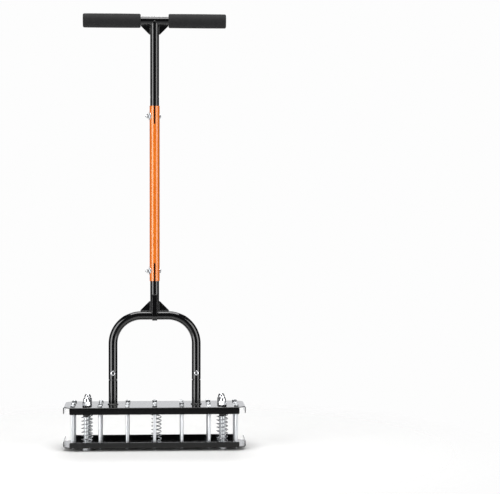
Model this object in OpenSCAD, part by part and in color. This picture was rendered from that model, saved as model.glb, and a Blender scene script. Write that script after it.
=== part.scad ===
// Stomp lawn aerator: a spring-loaded plate of solid spikes under a step-on fork and a
// T-handle. Units are millimetres, +Z is up, X is the width of the foot plates and the
// front is -Y. The origin is on the ground at the centre of the foot plates.

/* [Foot plates] */
// Width of both folded plates
plate_w = 445; // [420:5:520]
// Depth of both folded plates, front to back
plate_d = 130; // [120:2:170]
// Sheet thickness of both plates
sheet_t = 2; // [1.5:0.5:3]
// Outside radius of the folds
fold_r = 3.5; // [3.5:0.5:5]
// Length cut off each corner of the flat sheet
corner_cut = 16; // [10:1:16]
// Height of the upturned flanges of the base plate
base_flange_h = 14; // [10:1:20]
// Height of the downturned flanges of the top plate
top_flange_h = 17; // [10:1:20]
// Radius of the free corners of the flanges
flange_corner_r = 3; // [1:0.5:5]
// Clear height between the two plates' flat sheets at rest
plate_gap = 95; // [90:1:120]

/* [Spikes] */
// Columns of spikes are this far apart
spike_pitch_x = 66.5; // [62:0.5:68]
// Rows of spikes are this far apart
spike_pitch_y = 48; // [44:1:50]
// Diameter of a spike
spike_d = 8; // [7:0.5:9]
// Diameter of the threaded neck of a spike
spike_neck_d = 6; // [5:0.5:6]
// Length of the pointed end of a spike
spike_point_l = 9; // [7:1:14]
// Height of the spike points above the ground at rest
spike_tip_z = 1.4; // [1:0.1:4]
// Free length of neck between the shoulder and the lower nut
spike_neck_l = 10; // [6:1:14]
// Width across flats of the spike nuts
spike_nut_af = 10; // [9:0.5:11]
// Thickness of the spike nuts
spike_nut_h = 4; // [3:0.5:6]
// How far a spike thread stands out of its top nut
spike_thread_end = 1; // [0.5:0.5:4]

/* [Guide bolts] */
// Diameter of the guide bolts
guide_d = 12; // [10:1:12]
// Width across flats of the bolt heads, lock nuts and cap nuts
guide_af = 18; // [17:0.5:21.5]
// Height of the bolt heads that stand on the ground
guide_head_h = 8; // [7:0.5:9]
// Thickness of the lock nuts on the base plate
guide_lock_h = 9; // [6:1:10]
// Height of the hexagonal part of a cap nut
cap_hex_h = 10; // [8:1:12]
// Total height of a cap nut
cap_h = 21; // [19:1:24]
// How much narrower the dome of a cap nut is than its flats
cap_step = 1.4; // [0.6:0.2:2]
// Length of guide bolt inside a cap nut
cap_thread_l = 12; // [8:1:14]
// Wall of the guide bushes
bush_wall = 2.2; // [1.5:0.1:2.4]
// How far the collar of a guide bush stands out beyond its sleeve
bush_collar = 1.5; // [1:0.1:2.5]
// Thickness of the collar of a guide bush
bush_collar_h = 2; // [1.5:0.5:3]
// How far a guide bush reaches below the top face of the top plate
bush_reach = 26; // [15:1:30]

/* [Springs] */
// Wire diameter of the return springs
spring_wire_d = 2.2; // [1.8:0.1:2.6]
// Turns in a return spring, closed end turns included
spring_turns = 12; // [9:1:14]
// How far the centre spring has slid off its spike, to the right
centre_slide = 4; // [0:0.5:4]

/* [Fork] */
// Outside diameter of the fork tube, leg sockets and both stems
tube_d = 22; // [20:0.5:24]
// Wall of the black tubes
tube_wall = 1.5; // [1.2:0.1:2]
// Distance between the centres of the fork legs
leg_spread = 205; // [180:5:240]
// Length of a leg socket from the top plate to its joint with the fork leg
socket_l = 60; // [45:1:75]
// Gap that shows at the joint
leg_joint_gap = 2; // [1:0.5:3]
// Height of the fork's top centreline above the leg joints
fork_h = 160; // [140:1:190]
// Centreline radius of the fork's bends
fork_bend_r = 70; // [60:1:80]
// Height of the leg bolts above the joint
leg_bolt_rise = 18; // [14:1:20]
// Length of spigot inside a fork leg
spigot_l = 38; // [30:1:50]
// Width of the strap under the fork
strap_w = 12; // [10:1:14]
// Thickness of the strap under the fork
strap_t = 2.5; // [2:0.5:3]
// Height of the strap ends above the fork's centreline
strap_rise = 51; // [45:1:60]

/* [Extension tube] */
// Wall of the extension tube
ext_wall = 1.35; // [1:0.05:2]
// Height of the lower end of the extension tube above the fork's centreline
stem_show = 85; // [75:1:110]
// Length of the extension tube
ext_l = 430; // [380:5:470]
// Width of the clamp slots
slot_w = 3.8; // [3:0.2:5]
// Length of the clamp slots
slot_l = 44.5; // [36:0.5:50]
// Distance from a tube end to its clamp bolt
clamp_inset = 25; // [20:1:30]

/* [Handle] */
// Height of the cross bar's centreline above the extension tube
handle_rise = 208; // [160:1:250]
// Outside diameter of the cross bar
bar_d = 22; // [20:0.5:24]
// Length of the handle over the grips
handle_w = 350; // [330:5:400]
// Diameter of the foam grips
grip_d = 35; // [32:0.5:38]
// Length of a foam grip
grip_l = 141; // [130:1:150]
// Radius of the grip ends
grip_end_r = 5; // [3:0.5:8]
// Length of upper stem inside the extension tube
stem_insert = 150; // [120:5:170]
// Length of lower stem inside the extension tube
lower_insert = 110; // [80:5:140]
// Distance between the height adjustment holes
adjust_pitch = 47; // [40:1:48]

/* [Gussets] */
// Length of each side of the gusset plates on the fork
gusset_l = 24; // [18:1:28]
// Thickness of the gusset plates
gusset_t = 3; // [2:0.5:4]

/* [Cross bolts] */
// Diameter of the leg bolts and clamp bolts
cross_d = 6; // [5:0.5:6]
// Diameter of the heads of the cross bolts
cross_head_d = 12; // [10:0.5:13]
// Height of the heads of the cross bolts
cross_head_h = 3.2; // [2.8:0.2:4]
// Diameter of the saddle washers
saddle_d = 19.5; // [17:0.5:20]
// Thickness of the saddle washers
saddle_t = 1.5; // [1:0.1:2]
// Width across flats of the cross bolt nuts
cross_nut_af = 10; // [9:0.5:11]
// Thickness of the cross bolt nuts
cross_nut_h = 6; // [5:0.5:7]

/* [Clearances] */
// Radial gap round a spigot, a stem or a guide bolt
slide_gap = 0.15; // [0.1:0.05:0.3]
// Radial gap between a guide bolt and its bush
bush_gap = 0.3; // [0.25:0.05:0.4]
// Gap between a guide bush and its cap nut at rest
stop_gap = 0.2; // [0.1:0.1:0.5]
// Radial gap between a nut and its thread
thread_gap = 0.1; // [0.05:0.05:0.2]
// Radial gap round a spike in the base plate
spike_gap = 1; // [0.8:0.1:2]
// Radial gap between a lock nut's corners and its spring
spring_gap = 0.4; // [0.3:0.1:1]
// Radial gap between a cross bolt and the tubes it passes through
bolt_gap = 0.2; // [0.1:0.05:0.3]
// Radial gap between a bolt and a height adjustment hole
adjust_gap = 0.25; // [0.15:0.05:0.5]
// Radial gap between a curved seat and the tube it sits on
seat_gap = 0.05; // [0.05:0.05:0.15]
// Gap between the handle's gusset plates and the grips
grip_gap = 0.5; // [0.2:0.1:2]

/* [Hidden] */
$fn = 64;
COLUMNS = [-3, -2, -1, 0, 1, 2, 3];
ROWS = [-1, 0, 1];
guide_x = 2.5 * spike_pitch_x;
guide_y = 0.75 * spike_pitch_y;
base_z = guide_head_h;
base_top_z = base_z + sheet_t;
plate_under_z = base_top_z + plate_gap;
top_plate_z = plate_under_z + sheet_t;
spike_hole_d = spike_d + 2 * spike_gap;
bush_d = guide_d + 2 * bush_gap + 2 * bush_wall;
bush_collar_d = bush_d + 2 * bush_collar;
cap_dome_d = guide_af - cap_step;
cap_z = top_plate_z + bush_collar_h + stop_gap;
spring_r = guide_af / sqrt(3) + spring_gap + spring_wire_d / 2;
spring_top_z = plate_under_z - 0.1;
leg_x = leg_spread / 2;
tube_r = tube_d / 2;
leg_joint_z = top_plate_z + socket_l;
leg_start_z = leg_joint_z + leg_joint_gap;
fork_top_z = leg_joint_z + fork_h;
leg_bolt_z = leg_joint_z + leg_bolt_rise;
arch_x = leg_x - fork_bend_r;
arch_z = fork_top_z - fork_bend_r;
ext_d = tube_d + 2 * slide_gap + 2 * ext_wall;
ext_z = fork_top_z + stem_show;
ext_top_z = ext_z + ext_l;
lower_clamp_z = ext_z + clamp_inset;
upper_clamp_z = ext_top_z - clamp_inset;
adjust_hole_d = cross_d + 2 * adjust_gap;
bar_z = ext_top_z + handle_rise;
bar_r = bar_d / 2;
grip_start_x = handle_w / 2 - grip_l;
bar_end_x = handle_w / 2 - 5;
nut_seat = 0.4;
eps = 0.5;

// Hexagon prism along Z with both rims bevelled as on a pressed nut
module hex_prism(af, h, bevel_low = true, bevel_high = true) {
  corner = af / sqrt(3);
  cut = corner - af / 2;
  lo = bevel_low ? af / 2 : corner + 1;
  hi = bevel_high ? af / 2 : corner + 1;
  rise = cut * 0.6;
  intersection() {
    cylinder(r = corner, h = h, $fn = 6);
    rotate_extrude()
      polygon([[0, 0], [lo, 0], [corner + 0.2, rise], [corner + 0.2, h - rise], [hi, h], [0, h]]);
  }
}

// Plain hexagon nut standing on z = 0
module hex_nut(af, h, bore_d) {
  difference() {
    hex_prism(af, h);
    translate([0, 0, -eps]) cylinder(d = bore_d, h = h + 2 * eps);
  }
}

// Puts its children at every spike position
module at_spikes() {
  for (r = ROWS)
    for (c = COLUMNS)
      translate([c * spike_pitch_x, r * spike_pitch_y, 0]) children();
}

// Puts its children at the four guide bolts
module at_guides() {
  for (sx = [-1, 1])
    for (sy = [-1, 1])
      translate([sx * guide_x, sy * guide_y, 0]) children();
}

// Section of one folded flange, with the outside of the flange on the y axis
module fold_section(h) {
  union() {
    difference() {
      translate([fold_r, fold_r]) circle(r = fold_r);
      translate([fold_r, fold_r]) circle(r = fold_r - sheet_t);
      translate([fold_r, -eps]) square([fold_r + eps, 2 * fold_r + 2 * eps]);
      translate([-eps, fold_r]) square([2 * fold_r + 2 * eps, fold_r + eps]);
    }
    translate([0, fold_r]) square([sheet_t, h - fold_r]);
    translate([fold_r, 0]) square([1, sheet_t]);
  }
}

// Straight flange of length l along X, with its free corners rounded
module fold_strip(l, h) {
  intersection() {
    translate([-l / 2, 0, 0]) rotate([90, 0, 90]) linear_extrude(l) fold_section(h);
    translate([0, 2 * fold_r + 1, 0]) rotate([90, 0, 0]) linear_extrude(2 * fold_r + 2) union() {
      translate([-l / 2, -1]) square([l, h - flange_corner_r + 1]);
      translate([-l / 2 + flange_corner_r, -1]) square([l - 2 * flange_corner_r, h + 1]);
      for (s = [-1, 1])
        translate([s * (l / 2 - flange_corner_r), h - flange_corner_r]) circle(r = flange_corner_r);
    }
  }
}

// Folded plate: flat sheet on z = 0 with four flanges that rise to h
module tray(h) {
  ix = plate_w / 2 - fold_r;
  iy = plate_d / 2 - fold_r;
  cx = plate_w / 2 - corner_cut;
  cy = plate_d / 2 - corner_cut;
  union() {
    linear_extrude(sheet_t)
      polygon([[-cx, -iy], [cx, -iy], [ix, -cy], [ix, cy], [cx, iy], [-cx, iy], [-ix, cy], [-ix, -cy]]);
    for (s = [0, 1])
      mirror([0, s, 0]) translate([0, -plate_d / 2, 0]) fold_strip(plate_w - 2 * corner_cut, h);
    for (s = [0, 1])
      mirror([s, 0, 0]) translate([-plate_w / 2, 0, 0]) rotate([0, 0, -90])
        fold_strip(plate_d - 2 * corner_cut, h);
  }
}

// Straight tube along Z from z0 to z1
module tube_z(d, wall, z0, z1) {
  difference() {
    translate([0, 0, z0]) cylinder(d = d, h = z1 - z0);
    translate([0, 0, z0 - eps]) cylinder(d = d - 2 * wall, h = z1 - z0 + 2 * eps);
  }
}

// Solid bar of radius r that follows the fork's centreline
module fork_path(r, end_z) {
  union() {
    for (s = [-1, 1])
      translate([s * leg_x, 0, end_z]) cylinder(r = r, h = arch_z - end_z);
    translate([arch_x, 0, arch_z]) rotate([90, 0, 0])
      rotate_extrude(angle = 90) translate([fork_bend_r, 0]) circle(r = r);
    translate([-arch_x, 0, arch_z]) rotate([90, 0, 0])
      rotate_extrude(angle = 90, start = 90) translate([fork_bend_r, 0]) circle(r = r);
    translate([-arch_x, 0, fork_top_z]) rotate([0, 90, 0]) cylinder(r = r, h = 2 * arch_x);
  }
}

// Cross bolt along +Z: head below z = 0, grip length l between head and thread end
module cross_bolt(l) {
  r = cross_head_d / 2;
  difference() {
    union() {
      translate([0, 0, -cross_head_h]) rotate_extrude()
        polygon([[0, 0], [r - 2.2, 0], [r - 0.9, 0.5], [r - 0.2, 1.4], [r, 2.4],
                 [r, cross_head_h], [0, cross_head_h]]);
      cylinder(d = cross_d, h = l - 0.6);
      translate([0, 0, l - 0.6]) cylinder(d1 = cross_d, d2 = cross_d - 1.2, h = 0.6);
    }
    translate([0, 0, -cross_head_h - eps]) cylinder(r = 2.3, h = 1.8 + eps, $fn = 6);
  }
}

// Saddle washer that sits on a tube of diameter d along X and faces +Z
module saddle_washer(d) {
  ri = d / 2 + seat_gap;
  difference() {
    union() {
      intersection() {
        cylinder(d = saddle_d, h = d);
        rotate([0, 90, 0]) translate([0, 0, -saddle_d])
          cylinder(r = ri + saddle_t, h = 2 * saddle_d);
      }
      cylinder(d = cross_nut_af + 1, h = ri + saddle_t + nut_seat);
    }
    rotate([0, 90, 0]) translate([0, 0, -saddle_d - eps]) cylinder(r = ri, h = 2 * saddle_d + 2 * eps);
    cylinder(d = cross_d + 3 * bolt_gap, h = 2 * d);
  }
}

// Locking nut along +Z with its thin collar
module lock_nut(af, h, bore_d) {
  difference() {
    union() {
      hex_prism(af, h - 1.5, true, true);
      translate([0, 0, h - 1.9]) cylinder(d1 = af * 0.97, d2 = af * 0.84, h = 1.9);
    }
    translate([0, 0, -eps]) cylinder(d = bore_d, h = h + 2 * eps);
  }
}

// Two triangular plates with sides of length l between the stem along Z and a tube of radius r
// along X at height z; up = 1 puts them above the tube and up = -1 below it
module gusset_pair(l, r, z, up) {
  difference() {
    for (s = [-1, 1])
      translate([0, gusset_t / 2, z]) rotate([90, 0, 0]) linear_extrude(gusset_t)
        polygon([[s * (tube_r - 1), up * (r - 1)], [s * (tube_r + l), up * (r - 1)],
                 [s * (tube_r + l), up * (r + 2)], [s * (tube_r + 2), up * (r + l)],
                 [s * (tube_r - 1), up * (r + l)]]);
    translate([0, 0, z - 100]) cylinder(r = tube_r, h = 200);
    translate([-100, 0, z]) rotate([0, 90, 0]) cylinder(r = r, h = 200);
  }
}

// Round wire point on the coil: turn t runs from 0 to spring_turns
function coil_rise(t, h) =
  let (p = (h - 3 * spring_wire_d) / (spring_turns - 2))
    t < 1 ? spring_wire_d * t
    : t > spring_turns - 1 ? h - spring_wire_d - spring_wire_d * (spring_turns - t)
    : spring_wire_d + (t - 1) * p;
SPRING_STEPS = 15;
SPRING_SIDES = 6;
function coil_ring(t, h) = [
  for (k = [0 : SPRING_SIDES - 1])
    let (a = 360 * k / SPRING_SIDES, q = spring_r + spring_wire_d / 2 * cos(a))
      [q * cos(360 * t), q * sin(360 * t), coil_rise(t, h) + spring_wire_d / 2 * (1 + sin(a))]];

// Coil spring on z = 0 of free height h, with both end turns closed
module coil_spring(h) {
  n = spring_turns * SPRING_STEPS;
  s = SPRING_SIDES;
  points = [for (i = [0 : n]) each coil_ring(i / SPRING_STEPS, h)];
  side = [for (i = [0 : n - 1]) for (k = [0 : s - 1]) each [
    [i * s + k, (i + 1) * s + k, (i + 1) * s + (k + 1) % s],
    [i * s + k, (i + 1) * s + (k + 1) % s, i * s + (k + 1) % s]]];
  first = [[for (k = [0 : s - 1]) k]];
  last = [[for (k = [s - 1 : -1 : 0]) n * s + k]];
  polyhedron(points = points, faces = concat(first, side, last), convexity = 10);
}

// ---------------------------------------------------------------- foot

module base_plate() {
  color("#1b1b1c") difference() {
    translate([0, 0, base_z]) tray(base_flange_h);
    at_spikes() translate([0, 0, base_z - eps]) cylinder(d = spike_hole_d, h = sheet_t + 2 * eps);
    at_guides() translate([0, 0, base_z - eps])
      cylinder(d = guide_d + 2 * slide_gap, h = sheet_t + 2 * eps);
  }
}

module guide_bolt(sx, sy) {
  top = cap_z + cap_thread_l;
  color("#d4d6d8") translate([sx * guide_x, sy * guide_y, 0]) union() {
    hex_prism(guide_af, guide_head_h, true, false);
    cylinder(d = guide_d, h = top - 1);
    translate([0, 0, top - 1]) cylinder(d1 = guide_d, d2 = guide_d - 2, h = 1);
  }
}

module guide_lock_nuts() {
  color("#d4d6d8") at_guides() translate([0, 0, base_top_z])
    hex_nut(guide_af, guide_lock_h, guide_d + 2 * thread_gap);
}

// Domed nut: hexagon below, dome above, blind bore from below
module cap_nut() {
  dome_r = cap_dome_d / 2;
  difference() {
    union() {
      hex_prism(guide_af, cap_hex_h, true, true);
      cylinder(r = dome_r, h = cap_h - dome_r);
      translate([0, 0, cap_h - dome_r]) sphere(r = dome_r);
    }
    translate([0, 0, -eps]) cylinder(d = guide_d + 2 * thread_gap, h = cap_thread_l + 1.5 + eps);
  }
}

module cap_nuts() {
  color("#dfe1e3") at_guides() translate([0, 0, cap_z]) cap_nut();
}

module guide_spring(sx, sy) {
  color("#c3c6c9") translate([sx * guide_x, sy * guide_y, base_top_z])
    coil_spring(spring_top_z - base_top_z);
}

module centre_spring() {
  color("#c3c6c9") translate([centre_slide, 0, base_top_z])
    coil_spring(spring_top_z - base_top_z);
}

// ---------------------------------------------------------------- moving plate

module top_plate() {
  color("#1b1b1c") difference() {
    translate([0, 0, top_plate_z]) mirror([0, 0, 1]) tray(top_flange_h);
    at_spikes() translate([0, 0, plate_under_z - eps])
      cylinder(d = spike_neck_d + 3 * bolt_gap, h = sheet_t + 2 * eps);
    at_guides() translate([0, 0, plate_under_z - eps])
      cylinder(d = bush_d + 2 * seat_gap, h = sheet_t + 2 * eps);
  }
}

module guide_bushes() {
  color("#111111") at_guides() difference() {
    union() {
      translate([0, 0, top_plate_z - bush_reach]) cylinder(d = bush_d, h = bush_reach + 0.5);
      translate([0, 0, top_plate_z]) cylinder(d = bush_collar_d, h = bush_collar_h);
    }
    translate([0, 0, top_plate_z - bush_reach - eps])
      cylinder(d = guide_d + 2 * bush_gap, h = bush_reach + bush_collar_h + 2 * eps);
  }
}

// One spike: point, rod, shoulder and threaded neck that ends above its top nut
module spike(c, r) {
  shoulder_z = plate_under_z - spike_nut_h - spike_neck_l;
  end_z = top_plate_z + spike_nut_h + spike_thread_end;
  sr = spike_d / 2;
  nr = spike_neck_d / 2;
  color("#c9ccce") translate([c * spike_pitch_x, r * spike_pitch_y, 0]) rotate_extrude()
    polygon([[0, spike_tip_z], [0.4, spike_tip_z], [sr, spike_tip_z + spike_point_l],
             [sr, shoulder_z - 2.5], [nr, shoulder_z], [nr, end_z - 0.7], [nr - 0.7, end_z], [0, end_z]]);
}

module spike_top_nuts() {
  color("#d4d6d8") at_spikes() translate([0, 0, top_plate_z])
    hex_nut(spike_nut_af, spike_nut_h, spike_neck_d + 2 * thread_gap);
}

module spike_lower_nuts() {
  color("#d4d6d8") at_spikes() translate([0, 0, plate_under_z - spike_nut_h])
    hex_nut(spike_nut_af, spike_nut_h, spike_neck_d + 2 * thread_gap);
}

// Leg socket: tube stub with a weld fillet at its foot and a spigot at its top
module leg_socket(s) {
  spigot_r = tube_r - tube_wall - slide_gap;
  color("#161617") difference() {
    translate([s * leg_x, 0, 0]) rotate_extrude()
      polygon([[spigot_r - tube_wall, top_plate_z], [tube_r + 2.6, top_plate_z],
               [tube_r + 2.1, top_plate_z + 1], [tube_r + 1, top_plate_z + 2.1],
               [tube_r, top_plate_z + 2.8], [tube_r, leg_joint_z], [spigot_r, leg_joint_z],
               [spigot_r, leg_joint_z + spigot_l], [spigot_r - tube_wall, leg_joint_z + spigot_l]]);
    translate([s * leg_x, tube_d, leg_bolt_z]) rotate([90, 0, 0])
      cylinder(d = cross_d + 2 * bolt_gap, h = 2 * tube_d);
  }
}

// ---------------------------------------------------------------- fork

module fork() {
  color("#161617") difference() {
    fork_path(tube_r, leg_start_z);
    fork_path(tube_r - tube_wall, leg_start_z);
    for (s = [-1, 1]) {
      translate([s * leg_x, tube_d, leg_bolt_z]) rotate([90, 0, 0])
        cylinder(d = cross_d + 2 * bolt_gap, h = 2 * tube_d);
      translate([s * leg_x, 0, leg_start_z - 1]) cylinder(r = tube_r - tube_wall, h = 2);
    }
  }
}

module leg_bolt(s) {
  color("#d4d6d8") translate([s * leg_x, -tube_r, leg_bolt_z]) rotate([-90, 0, 0])
    cross_bolt(tube_d + saddle_t + nut_seat + cross_nut_h + 1.6);
}

module leg_washers() {
  color("#dfe1e3") for (s = [-1, 1])
    translate([s * leg_x, 0, leg_bolt_z]) rotate([0, 90, 0]) rotate([-90, 0, 0]) saddle_washer(tube_d);
}

module leg_nuts() {
  color("#d4d6d8") for (s = [-1, 1])
    translate([s * leg_x, tube_r + seat_gap + saddle_t + nut_seat, leg_bolt_z]) rotate([-90, 0, 0])
      lock_nut(cross_nut_af, cross_nut_h, cross_d + 2 * thread_gap);
}

module lower_stem() {
  color("#161617") difference() {
    tube_z(tube_d, tube_wall, fork_top_z, ext_z + lower_insert);
    translate([-tube_d, 0, fork_top_z]) rotate([0, 90, 0]) cylinder(r = tube_r, h = 2 * tube_d);
    translate([-tube_d, 0, lower_clamp_z]) rotate([0, 90, 0])
      cylinder(d = cross_d + 2 * bolt_gap, h = 2 * tube_d);
  }
}

module fork_gussets() {
  color("#161617") gusset_pair(gusset_l, tube_r, fork_top_z, 1);
}

// Strap bent round the underside of the fork tube, with one leg each side of the stem
module fork_strap() {
  ri = tube_r + seat_gap;
  color("#161617") translate([-strap_w / 2, 0, fork_top_z]) rotate([90, 0, 90]) linear_extrude(strap_w)
    difference() {
      union() {
        circle(r = ri + strap_t);
        translate([-ri - strap_t, 0]) square([2 * (ri + strap_t), strap_rise]);
      }
      circle(r = ri);
      translate([-ri, 0]) square([2 * ri, strap_rise + eps]);
    }
}

// ---------------------------------------------------------------- extension tube

module extension_tube() {
  ri = tube_r + slide_gap;
  color("#f0641e") difference() {
    translate([0, 0, ext_z]) cylinder(d = ext_d, h = ext_l);
    translate([0, 0, ext_z - eps]) cylinder(r = ri, h = ext_l + 2 * eps);
    for (z = [lower_clamp_z, upper_clamp_z])
      translate([-ext_d, 0, z]) rotate([0, 90, 0]) cylinder(d = cross_d + 2 * bolt_gap, h = 2 * ext_d);
    for (z = [ext_z, ext_top_z])
      translate([-slot_w / 2, -ext_d, z - slot_l + slot_w / 2])
        cube([slot_w, 2 * ext_d, 2 * slot_l - slot_w]);
    for (z = [ext_z + slot_l - slot_w / 2, ext_top_z - slot_l + slot_w / 2])
      translate([0, ext_d, z]) rotate([90, 0, 0]) cylinder(d = slot_w, h = 2 * ext_d);
  }
}

module clamp_bolt(z) {
  color("#d4d6d8") translate([ext_d / 2, 0, z]) rotate([0, -90, 0])
    cross_bolt(ext_d + saddle_t + nut_seat + cross_nut_h + 2.4);
}

module clamp_washers() {
  color("#dfe1e3") for (z = [lower_clamp_z, upper_clamp_z])
    translate([0, 0, z]) rotate([0, -90, 0]) saddle_washer(ext_d);
}

module clamp_nuts() {
  color("#d4d6d8") for (z = [lower_clamp_z, upper_clamp_z])
    translate([-(ext_d / 2 + seat_gap + saddle_t + nut_seat), 0, z]) rotate([0, -90, 0])
      lock_nut(cross_nut_af, cross_nut_h, cross_d + 2 * thread_gap);
}

// ---------------------------------------------------------------- handle

module upper_stem() {
  color("#161617") difference() {
    tube_z(tube_d, tube_wall, ext_top_z - stem_insert, bar_z);
    translate([-tube_d, 0, bar_z]) rotate([0, 90, 0]) cylinder(r = bar_r, h = 2 * tube_d);
    for (k = [-2 : 1])
      translate([-tube_d, 0, upper_clamp_z + k * adjust_pitch]) rotate([0, 90, 0])
        cylinder(d = adjust_hole_d, h = 2 * tube_d);
  }
}

module crossbar() {
  color("#161617") translate([-bar_end_x, 0, bar_z]) rotate([0, 90, 0])
    tube_z(bar_d, tube_wall, 0, 2 * bar_end_x);
}

module handle_gussets() {
  color("#161617") gusset_pair(grip_start_x - tube_r - grip_gap, bar_r, bar_z, -1);
}

// Foam grip: closed sleeve on one end of the cross bar
module grip(s) {
  r = grip_d / 2;
  bore_l = bar_end_x - grip_start_x + 0.3;
  color("#262626") mirror([s, 0, 0]) translate([grip_start_x, 0, bar_z]) rotate([0, 90, 0])
    difference() {
      rotate_extrude() union() {
        square([r - grip_end_r, grip_l]);
        translate([0, grip_end_r]) square([r, grip_l - 2 * grip_end_r]);
        translate([r - grip_end_r, grip_end_r]) circle(r = grip_end_r);
        translate([r - grip_end_r, grip_l - grip_end_r]) circle(r = grip_end_r);
      }
      translate([0, 0, -eps]) cylinder(r = bar_r + seat_gap, h = bore_l + eps);
    }
}

crossbar();
upper_stem();
handle_gussets();
grip(1);  // grip_left
grip(0);  // grip_right
extension_tube();
clamp_bolt(upper_clamp_z);  // upper_clamp_bolt
clamp_bolt(lower_clamp_z);  // lower_clamp_bolt
clamp_nuts();
clamp_washers();
lower_stem();
fork();
fork_gussets();
fork_strap();
leg_bolt(-1);  // left_leg_bolt
leg_bolt(1);  // right_leg_bolt
leg_nuts();
leg_washers();
leg_socket(-1);  // left_leg_socket
leg_socket(1);  // right_leg_socket
top_plate();
guide_bushes();
spike(-3, -1);  // spike_front_1
spike(-2, -1);  // spike_front_2
spike(-1, -1);  // spike_front_3
spike(0, -1);  // spike_front_4
spike(1, -1);  // spike_front_5
spike(2, -1);  // spike_front_6
spike(3, -1);  // spike_front_7
spike(-3, 0);  // spike_middle_1
spike(-2, 0);  // spike_middle_2
spike(-1, 0);  // spike_middle_3
spike(0, 0);  // spike_middle_4
spike(1, 0);  // spike_middle_5
spike(2, 0);  // spike_middle_6
spike(3, 0);  // spike_middle_7
spike(-3, 1);  // spike_back_1
spike(-2, 1);  // spike_back_2
spike(-1, 1);  // spike_back_3
spike(0, 1);  // spike_back_4
spike(1, 1);  // spike_back_5
spike(2, 1);  // spike_back_6
spike(3, 1);  // spike_back_7
spike_top_nuts();
spike_lower_nuts();
base_plate();
guide_bolt(-1, -1);  // guide_bolt_front_left
guide_bolt(1, -1);  // guide_bolt_front_right
guide_bolt(-1, 1);  // guide_bolt_back_left
guide_bolt(1, 1);  // guide_bolt_back_right
guide_lock_nuts();
cap_nuts();
guide_spring(-1, -1);  // spring_front_left
guide_spring(1, -1);  // spring_front_right
guide_spring(-1, 1);  // spring_back_left
guide_spring(1, 1);  // spring_back_right
centre_spring();  // spring_centre
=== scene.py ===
"""Studio scene of a spring-loaded stomp lawn aerator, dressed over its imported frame."""

import logging
import math
from dataclasses import dataclass, field
from enum import Enum

import bpy
from mathutils import Matrix, Quaternion, Vector


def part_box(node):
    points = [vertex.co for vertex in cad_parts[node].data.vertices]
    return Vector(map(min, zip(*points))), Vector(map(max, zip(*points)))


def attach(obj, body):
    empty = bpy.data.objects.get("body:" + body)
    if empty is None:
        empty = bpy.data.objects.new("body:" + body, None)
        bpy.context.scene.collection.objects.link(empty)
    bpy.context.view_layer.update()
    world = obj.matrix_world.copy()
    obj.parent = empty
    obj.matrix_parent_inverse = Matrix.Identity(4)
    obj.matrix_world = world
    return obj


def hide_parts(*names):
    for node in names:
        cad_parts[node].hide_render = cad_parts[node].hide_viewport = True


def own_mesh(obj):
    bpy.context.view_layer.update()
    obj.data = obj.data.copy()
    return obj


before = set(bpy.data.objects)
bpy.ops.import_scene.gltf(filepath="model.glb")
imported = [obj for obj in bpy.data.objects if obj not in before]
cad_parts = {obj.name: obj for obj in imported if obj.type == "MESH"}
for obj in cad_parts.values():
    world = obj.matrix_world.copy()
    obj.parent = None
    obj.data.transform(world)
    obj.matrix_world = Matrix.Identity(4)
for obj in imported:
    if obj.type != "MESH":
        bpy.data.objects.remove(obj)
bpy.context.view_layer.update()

log = logging.getLogger("aerator")
MM = 0.001
# Radius that closes a turned shape at its axis.
PIN_POINT = 0.0001 * MM

Point = tuple[float, float, float]
Ring = list[Point]


class Body(Enum):
    """The two rigid bodies of the tool."""

    BASE = "base"
    CARRIAGE = "carriage"


# ------------------------------------------------------------------ colour and node helpers


def srgb(hex_code: str) -> tuple[float, float, float, float]:
    """Turns an sRGB hex colour into Blender's linear RGBA.

    Args:
        hex_code: Colour such as "#f0641e".

    Returns:
        Linear red, green, blue and an alpha of 1.
    """
    parts = [int(hex_code.lstrip("#")[i:i + 2], 16) / 255 for i in (0, 2, 4)]
    lin = [p / 12.92 if p <= 0.04045 else ((p + 0.055) / 1.055) ** 2.4 for p in parts]
    return (lin[0], lin[1], lin[2], 1.0)


def add_node(tree: bpy.types.NodeTree, kind: str, settings: dict | None = None,
             links: dict | None = None) -> bpy.types.Node:
    """Adds one shader node, with its properties, socket values and incoming links.

    Args:
        tree: Node tree that gets the node.
        kind: Node type, such as "ShaderNodeBump".
        settings: Property names or input socket names (or numbers) with their values.
        links: Input socket names (or numbers) with the output socket that feeds each.

    Returns:
        The new node.
    """
    node = tree.nodes.new(kind)
    for key, value in (settings or {}).items():
        if isinstance(key, str) and hasattr(node, key):
            setattr(node, key, value)
        else:
            node.inputs[key].default_value = value
    for key, socket in (links or {}).items():
        tree.links.new(socket, node.inputs[key])
    return node


def clean_tree(owner: bpy.types.Material | bpy.types.World) -> bpy.types.NodeTree:
    """Switches an owner's nodes on and empties its tree."""
    owner.use_nodes = True
    owner.node_tree.nodes.clear()
    return owner.node_tree


def per_metre(size_mm: float) -> float:
    """Noise scale whose features are about size_mm across."""
    return 1.0 / (size_mm * MM)


def ramp_stops(ramp: bpy.types.Node, *stops: tuple[float, str]) -> None:
    """Sets the two stops of a colour ramp.

    Args:
        ramp: The colour ramp node.
        stops: Position and sRGB hex colour of each stop.
    """
    for element, (position, colour) in zip(ramp.color_ramp.elements, stops):
        element.position, element.color = position, srgb(colour)


# ------------------------------------------------------------------ finishes


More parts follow.
